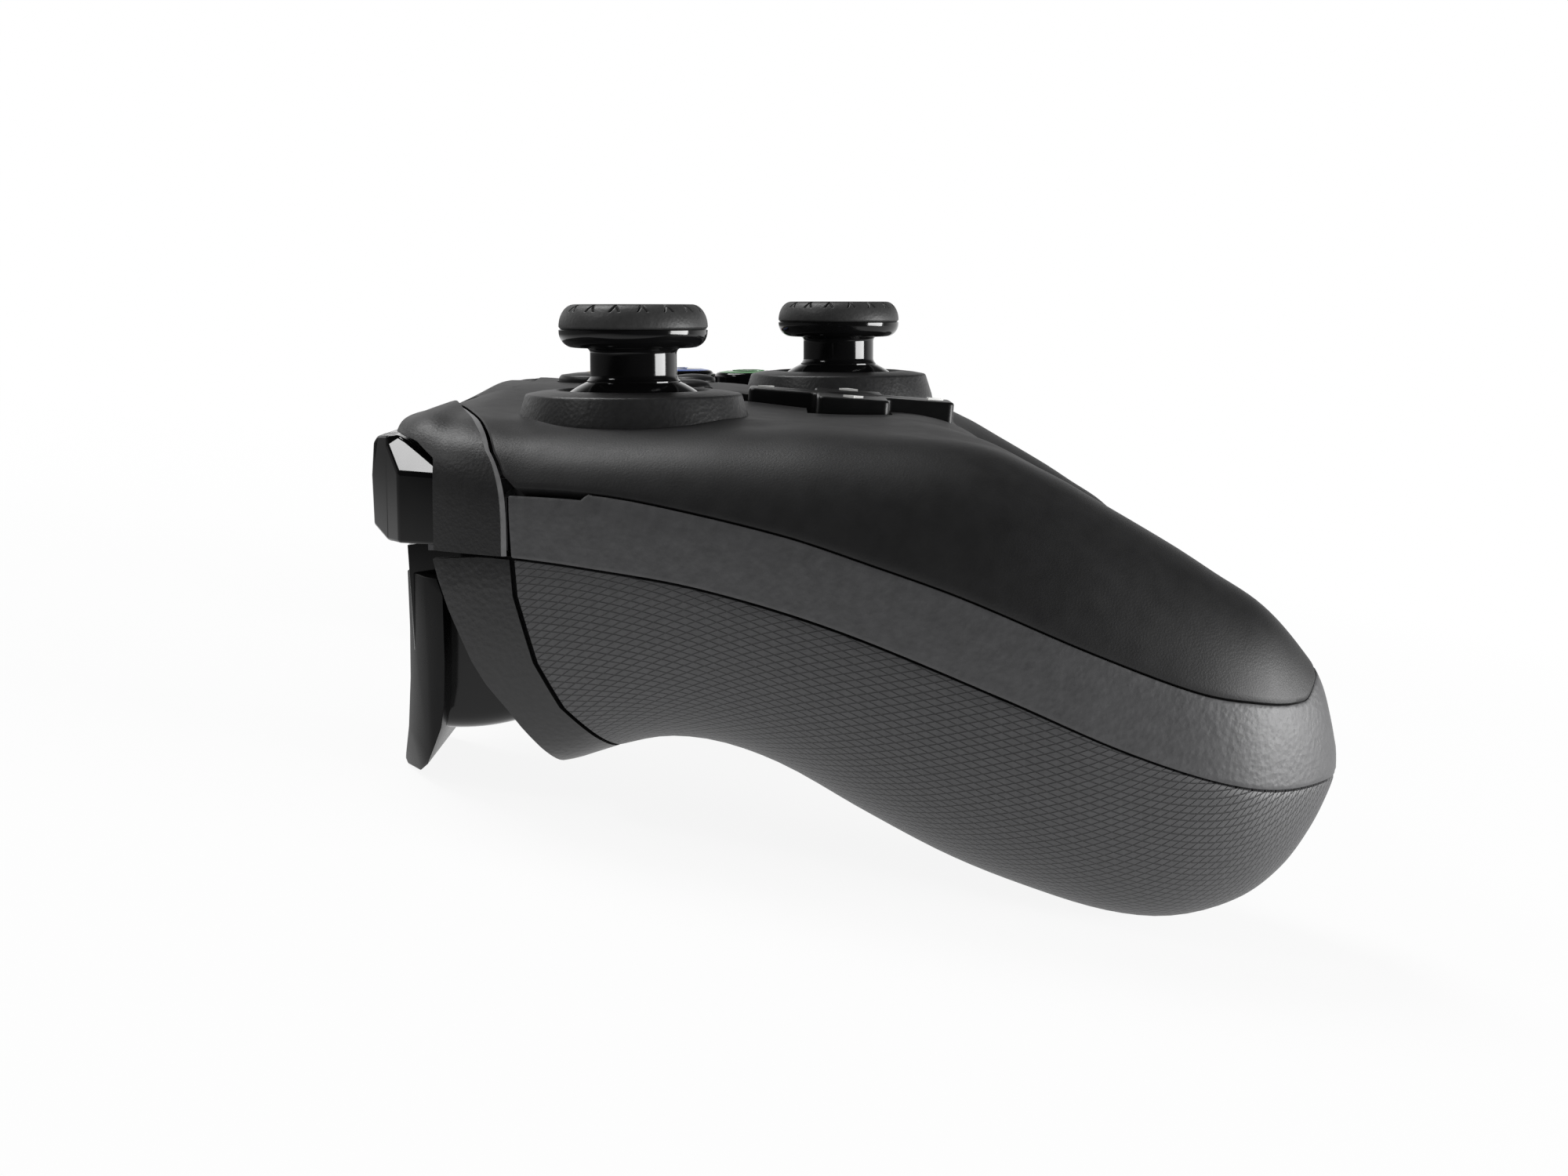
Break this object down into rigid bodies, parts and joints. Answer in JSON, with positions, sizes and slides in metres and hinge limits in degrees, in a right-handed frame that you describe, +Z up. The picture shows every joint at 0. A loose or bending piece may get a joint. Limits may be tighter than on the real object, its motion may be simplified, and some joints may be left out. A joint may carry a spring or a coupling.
{
  "type": "gamepad",
  "caption": "Handheld gamepad: sprung thumbsticks in raised rings, rocking direction pad, face buttons, hinged bumpers and triggers in a seamed shell with rubber grips.",
  "frame": {"origin": "middle of the footprint on the table, the pad resting on its handles and trigger tips", "axes": "+X to the right of the player, +Y away from the player to the bumpers, +Z up"},
  "size_m": [0.152, 0.1146, 0.0631],
  "materials": {
    "shell_black": "smooth matte",
    "band_grey": "fine pebble grain",
    "cover_black": "satin grain",
    "grip_rubber": "soft touch with a woven diamond grid",
    "collar_satin": "satin grain",
    "ring_satin": "satin grain",
    "case_grey": "moulded",
    "zinc": "die cast",
    "steel": "turned",
    "gloss_black": "polished",
    "cap_rubber": "matte",
    "button_gloss": "polished with a coloured mark",
    "button_matte": "satin",
    "board_green": "solder mask",
    "membrane": "matte",
    "socket_black": "moulded"
  },
  "bodies": {
    "housing": {"face_plate": "shell_black", "side_band": "band_grey", "rear_cover": "cover_black", "grip_left": "grip_rubber", "grip_right": "grip_rubber", "collar_left": "collar_satin", "collar_right": "collar_satin", "front_bridge": "collar_satin", "stick_ring_left": "ring_satin", "stick_ring_right": "ring_satin", "stick_module_left": "case_grey", "stick_module_right": "case_grey", "trigger_pin_left": "steel", "trigger_pin_right": "steel", "trigger_bracket_left": "case_grey", "trigger_bracket_right": "case_grey", "dpad_mount": "case_grey", "button_board": "board_green", "button_membrane": "membrane", "main_board": "board_green", "motor_left": "steel", "motor_right": "steel", "jack_socket": "socket_black", "cable_socket": "steel", "case_screws": "steel"},
    "left_gimbal": {"stick_gimbal_left": "zinc"},
    "left_shaft": {"stick_shaft_left": "steel"},
    "left_thumb": {"stick_post_left": "gloss_black", "stick_cap_left": "cap_rubber"},
    "right_gimbal": {"stick_gimbal_right": "zinc"},
    "right_shaft": {"stick_shaft_right": "steel"},
    "right_thumb": {"stick_post_right": "gloss_black", "stick_cap_right": "cap_rubber"},
    "left_bumper": {"bumper_left": "gloss_black"},
    "left_trigger": {"trigger_left": "gloss_black"},
    "left_weight": {"weight_left": "zinc"},
    "right_bumper": {"bumper_right": "gloss_black"},
    "right_trigger": {"trigger_right": "gloss_black"},
    "right_weight": {"weight_right": "zinc"},
    "dpad_cross": {"dpad": "gloss_black"},
    "dpad_pivot": {"dpad_rocker": "zinc"},
    "button_front_cap": {"button_front": "button_gloss"},
    "button_back_cap": {"button_back": "button_gloss"},
    "button_inner_cap": {"button_inner": "button_gloss"},
    "button_outer_cap": {"button_outer": "button_gloss"},
    "home_button_cap": {"home_button": "button_gloss"},
    "view_button_cap": {"view_button": "button_matte"},
    "menu_button_cap": {"menu_button": "button_matte"}
  },
  "joints": [
    {"name": "left_stick_forward", "type": "hinge", "parent": "housing", "child": "left_gimbal", "pos_m": [-0.0425, 0.02712, 0.03673], "axis": [-1, 0, 0], "range_deg": [-11.5, 11.5], "stiffness_Nm_per_rad": 0.02},
    {"name": "left_stick_sideways", "type": "hinge", "parent": "left_gimbal", "child": "left_shaft", "pos_m": [-0.0425, 0.02712, 0.03673], "axis": [0, 0.986, -0.1668], "range_deg": [-11.5, 11.5], "stiffness_Nm_per_rad": 0.02},
    {"name": "left_stick_click", "type": "slide", "parent": "left_shaft", "child": "left_thumb", "axis": [0, -0.1668, -0.986], "range_m": [0, 0.0005], "stiffness_N_per_m": 2000},
    {"name": "right_stick_forward", "type": "hinge", "parent": "housing", "child": "right_gimbal", "pos_m": [0.0205, 0.00171, 0.04123], "axis": [-1, 0, 0], "range_deg": [-11.5, 11.5], "stiffness_Nm_per_rad": 0.02},
    {"name": "right_stick_sideways", "type": "hinge", "parent": "right_gimbal", "child": "right_shaft", "pos_m": [0.0205, 0.00171, 0.04123], "axis": [0, 0.986, -0.1668], "range_deg": [-11.5, 11.5], "stiffness_Nm_per_rad": 0.02},
    {"name": "right_stick_click", "type": "slide", "parent": "right_shaft", "child": "right_thumb", "axis": [0, -0.1668, -0.986], "range_m": [0, 0.0005], "stiffness_N_per_m": 2000},
    {"name": "left_bumper_press", "type": "hinge", "parent": "housing", "child": "left_bumper", "pos_m": [-0.0234, 0.05219, 0.03147], "axis": [0, 0.1668, 0.986], "range_deg": [0, 2.2], "stiffness_Nm_per_rad": 1.5},
    {"name": "left_trigger_pull", "type": "hinge", "parent": "housing", "child": "left_trigger", "pos_m": [-0.041, 0.04645, 0.02991], "axis": [-1, 0, 0], "range_deg": [0, 15], "stiffness_Nm_per_rad": 0.15},
    {"name": "left_rumble_spin", "type": "hinge", "parent": "housing", "child": "left_weight", "pos_m": [-0.058, -0.03536, 0.01991], "axis": [1, 0, 0], "continuous": true},
    {"name": "right_bumper_press", "type": "hinge", "parent": "housing", "child": "right_bumper", "pos_m": [0.0234, 0.05219, 0.03147], "axis": [0, -0.1668, -0.986], "range_deg": [0, 2.2], "stiffness_Nm_per_rad": 1.5},
    {"name": "right_trigger_pull", "type": "hinge", "parent": "housing", "child": "right_trigger", "pos_m": [0.041, 0.04645, 0.02991], "axis": [-1, 0, 0], "range_deg": [0, 15], "stiffness_Nm_per_rad": 0.15},
    {"name": "right_rumble_spin", "type": "hinge", "parent": "housing", "child": "right_weight", "pos_m": [0.058, -0.03536, 0.01991], "axis": [1, 0, 0], "continuous": true},
    {"name": "dpad_forward", "type": "hinge", "parent": "housing", "child": "dpad_pivot", "pos_m": [-0.02, 0.00207, 0.04396], "axis": [-1, 0, 0], "range_deg": [-4, 4], "stiffness_Nm_per_rad": 0.17},
    {"name": "dpad_sideways", "type": "hinge", "parent": "dpad_pivot", "child": "dpad_cross", "pos_m": [-0.02, 0.00207, 0.04396], "axis": [0, 0.9956, -0.0941], "range_deg": [-4, 4], "stiffness_Nm_per_rad": 0.17},
    {"name": "button_front_press", "type": "slide", "parent": "housing", "child": "button_front_cap", "axis": [0, -0.1668, -0.986], "range_m": [0, 0.0015], "stiffness_N_per_m": 700},
    {"name": "button_back_press", "type": "slide", "parent": "housing", "child": "button_back_cap", "axis": [0, -0.1668, -0.986], "range_m": [0, 0.0015], "stiffness_N_per_m": 700},
    {"name": "button_inner_press", "type": "slide", "parent": "housing", "child": "button_inner_cap", "axis": [0, -0.1668, -0.986], "range_m": [0, 0.0015], "stiffness_N_per_m": 700},
    {"name": "button_outer_press", "type": "slide", "parent": "housing", "child": "button_outer_cap", "axis": [0, -0.1668, -0.986], "range_m": [0, 0.0015], "stiffness_N_per_m": 700},
    {"name": "home_button_press", "type": "slide", "parent": "housing", "child": "home_button_cap", "axis": [0, -0.1668, -0.986], "range_m": [0, 0.0008], "stiffness_N_per_m": 700},
    {"name": "view_button_press", "type": "slide", "parent": "housing", "child": "view_button_cap", "axis": [0, -0.1668, -0.986], "range_m": [0, 0.0008], "stiffness_N_per_m": 700},
    {"name": "menu_button_press", "type": "slide", "parent": "housing", "child": "menu_button_cap", "axis": [0, -0.1668, -0.986], "range_m": [0, 0.0008], "stiffness_N_per_m": 700}
  ]
}
